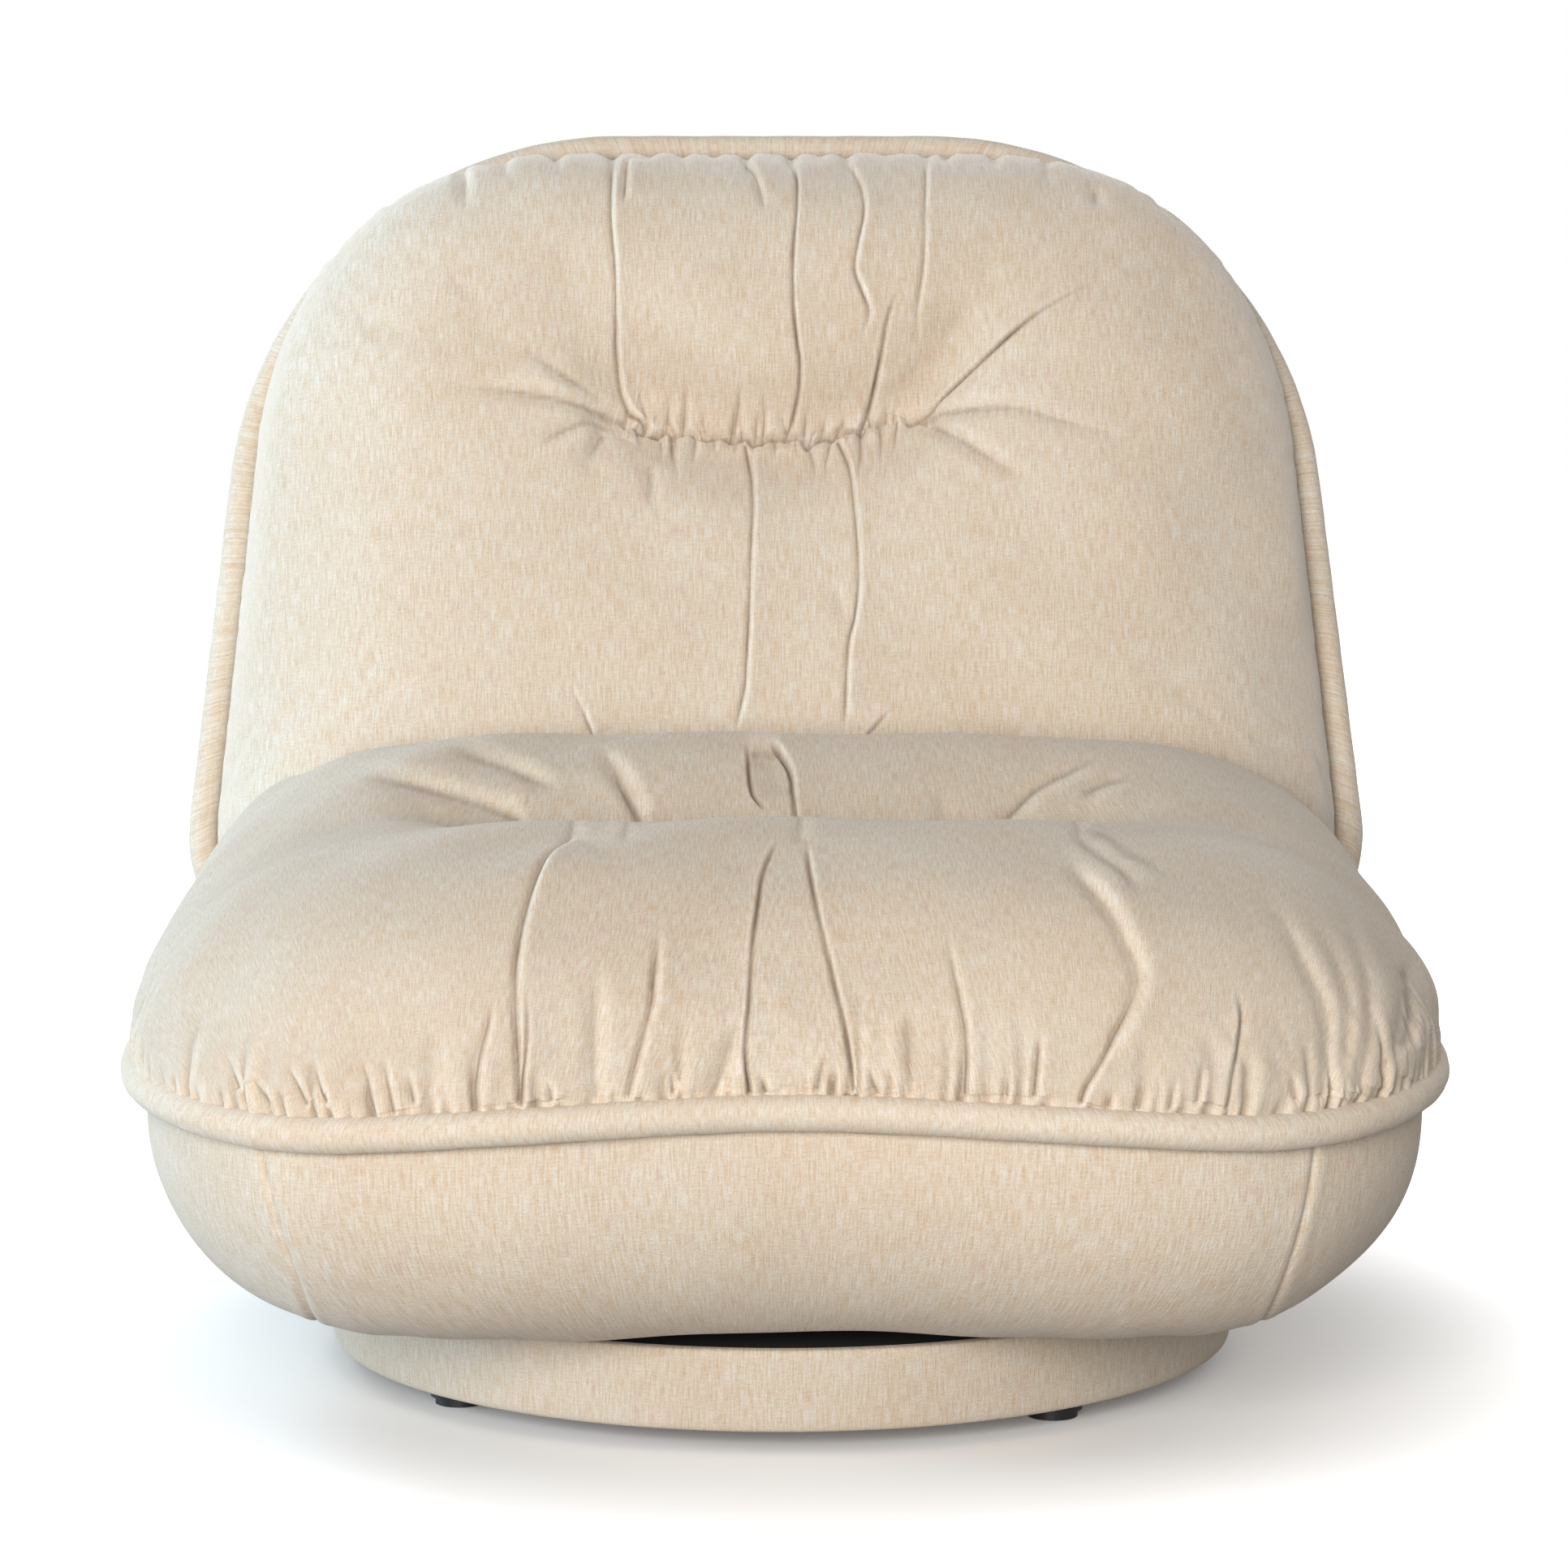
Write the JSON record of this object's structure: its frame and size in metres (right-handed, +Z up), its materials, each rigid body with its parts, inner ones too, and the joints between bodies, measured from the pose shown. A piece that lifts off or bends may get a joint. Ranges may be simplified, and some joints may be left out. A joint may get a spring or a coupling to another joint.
{
  "type": "swivel lounge chair",
  "caption": "Low armless upholstered lounge chair with a gathered seat and back cushion, fat welts, a rounded bowl under the seat and a fabric-covered round plinth on which it swivels.",
  "frame": {"origin": "on the floor under the swivel axis, at the middle of the chair's footprint", "axes": "+Z up along the swivel axis; the chair faces -Y at rest, with its right side as seen from the front towards +X"},
  "size_m": [0.858, 0.8728, 0.8168],
  "materials": {
    "cream_fabric": "soft chenille upholstery fabric with fine streaks",
    "foam": "open-cell upholstery foam and felt",
    "black_cloth": "thin black lining cloth and webbing",
    "plywood": "bare plywood and softwood",
    "zinc_steel": "zinc-plated steel",
    "black_steel": "black painted steel tube",
    "black_plastic": "moulded black plastic"
  },
  "bodies": {
    "base": {"glides": "black_plastic", "glide_screws": "zinc_steel", "plinth_bottom_board": "plywood", "plinth_blocks": "plywood", "plinth_wall": "plywood", "plinth_top_board": "plywood", "plinth_cover": "cream_fabric", "swivel_lower_plate": "zinc_steel", "swivel_rivet": "zinc_steel", "lower_plate_bolts": "zinc_steel", "lower_tee_nuts": "zinc_steel"},
    "ball_ring": {"ball_cage": "black_plastic", "bearing_balls": "zinc_steel"},
    "chair": {"swivel_upper_plate": "zinc_steel", "upper_plate_bolts": "zinc_steel", "upper_tee_nuts": "zinc_steel", "seat_base_board": "plywood", "dust_cover": "black_cloth", "seat_rail_front": "plywood", "seat_rail_rear": "plywood", "seat_rail_left": "plywood", "seat_rail_right": "plywood", "corner_blocks": "plywood", "seat_springs": "zinc_steel", "spring_clips": "zinc_steel", "seat_deck_pad": "foam", "bowl_front_panel": "cream_fabric", "bowl_rear_panel": "cream_fabric", "bowl_left_panel": "cream_fabric", "bowl_right_panel": "cream_fabric", "seat_welt": "cream_fabric", "seat_cushion_cover": "cream_fabric", "seat_cushion_foam": "foam", "seat_cushion_lining": "black_cloth", "back_ring": "plywood", "ring_screws": "zinc_steel", "back_post_left": "black_steel", "back_post_right": "black_steel", "post_bolts": "zinc_steel", "post_inserts": "zinc_steel", "back_straps": "black_cloth", "back_cushion_cover": "cream_fabric", "back_foam": "foam", "back_welt": "cream_fabric", "back_rear_cover": "cream_fabric", "back_rear_foam": "foam"}
  },
  "joints": [
    {"name": "seat_swivel", "type": "hinge", "parent": "base", "child": "chair", "pos_m": [0, 0, 0.069], "axis": [0, 0, 1], "continuous": true},
    {"name": "ball_ring_spin", "type": "hinge", "parent": "base", "child": "ball_ring", "pos_m": [0, 0, 0.069], "axis": [0, 0, 1], "continuous": true}
  ],
  "couplings": [
    {"joint": "ball_ring_spin", "follows": "seat_swivel", "ratio": 0.5}
  ]
}
